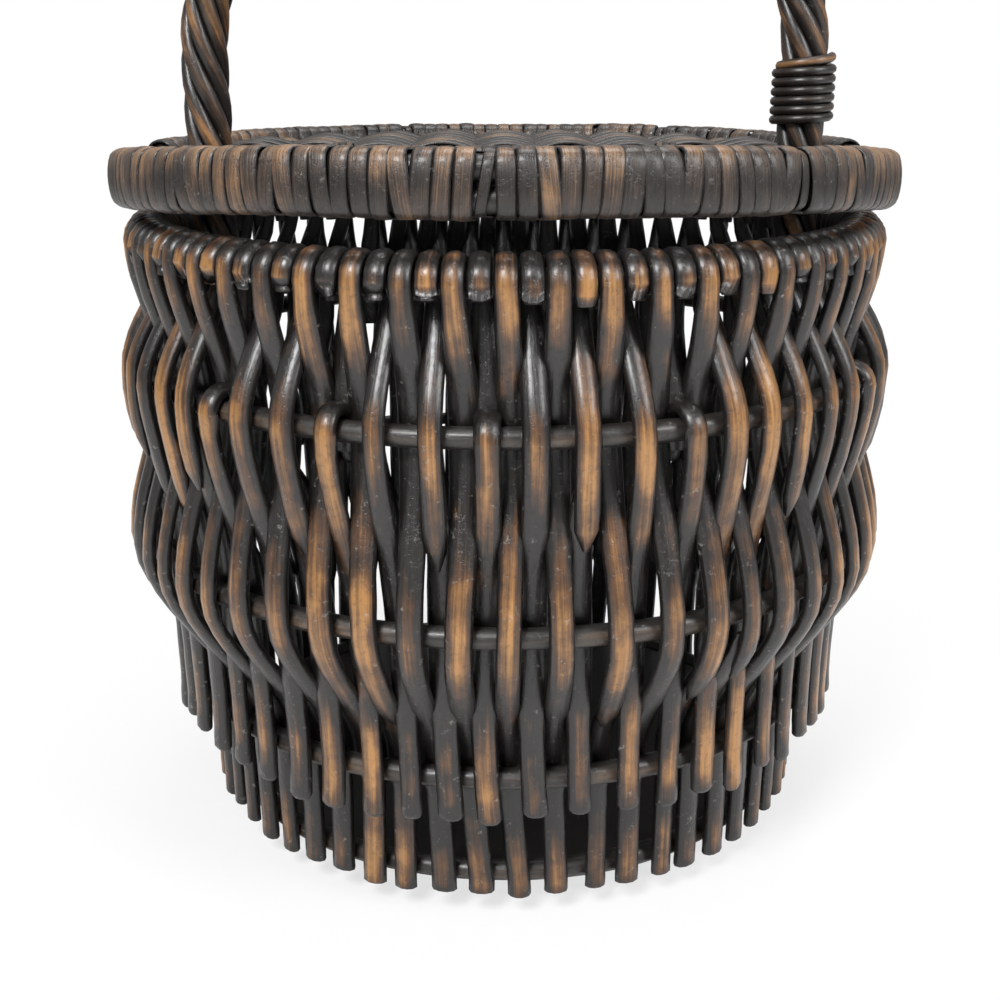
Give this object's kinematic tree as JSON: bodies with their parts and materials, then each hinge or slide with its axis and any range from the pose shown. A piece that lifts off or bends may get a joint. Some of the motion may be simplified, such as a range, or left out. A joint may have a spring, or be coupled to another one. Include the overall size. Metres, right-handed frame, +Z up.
{
  "type": "picnic basket",
  "caption": "Round open-wall willow picnic basket on a ring foot, with two half-round woven lids hinged beside a fixed twisted bow handle.",
  "frame": {"origin": "on the floor under the middle of the basket", "axes": "+Z up, +X to the right along the hinge lines, front at -Y"},
  "size_m": [0.3398, 0.3398, 0.4617],
  "materials": {
    "willow": "dark stain worn to golden brown on the outward bends, satin",
    "hoop_rod": "dark grey-brown stain, satin",
    "base_wood": "dark stain, dull",
    "rope_willow": "dark stain with worn brown strands, satin",
    "cane": "dark stain, worn golden on top",
    "frame_rod": "dark stain, dull",
    "skein": "dark stained flat skein, satin with fibre grain",
    "weave": "dark stained skein, satin"
  },
  "bodies": {
    "basket": {"rim_hoop": "hoop_rod", "shoulder_hoop": "hoop_rod", "belly_hoop": "hoop_rod", "waist_hoop": "hoop_rod", "base_hoop": "hoop_rod", "foot_ring": "base_wood", "base_board": "base_wood", "long_stakes": "willow", "short_stakes": "willow", "handle_core": "frame_rod", "handle_strand_1": "rope_willow", "handle_strand_2": "rope_willow", "handle_strand_3": "rope_willow", "handle_strand_4": "rope_willow", "handle_strand_5": "rope_willow", "handle_strand_6": "rope_willow", "right_leg_binding": "cane", "left_leg_binding": "cane", "front_bridge_rod": "frame_rod", "rear_bridge_rod": "frame_rod", "bridge_ties": "skein", "front_hinge_loops": "skein", "rear_hinge_loops": "skein"},
    "front_lid": {"front_lid_frame_rods": "frame_rod", "front_lid_rim_wrap": "skein", "front_lid_back_rod": "frame_rod", "front_lid_back_wrap": "skein", "front_lid_stakes": "weave", "front_lid_weavers": "weave"},
    "rear_lid": {"rear_lid_frame_rods": "frame_rod", "rear_lid_rim_wrap": "skein", "rear_lid_back_rod": "frame_rod", "rear_lid_back_wrap": "skein", "rear_lid_stakes": "weave", "rear_lid_weavers": "weave"}
  },
  "joints": [
    {"name": "front_lid_hinge", "type": "hinge", "parent": "basket", "child": "front_lid", "pos_m": [0, -0.03094, 0.28435], "axis": [-1, 0, 0], "range_deg": [0, 90.3]},
    {"name": "rear_lid_hinge", "type": "hinge", "parent": "basket", "child": "rear_lid", "pos_m": [0, 0.03094, 0.28435], "axis": [1, 0, 0], "range_deg": [0, 94.5]}
  ]
}
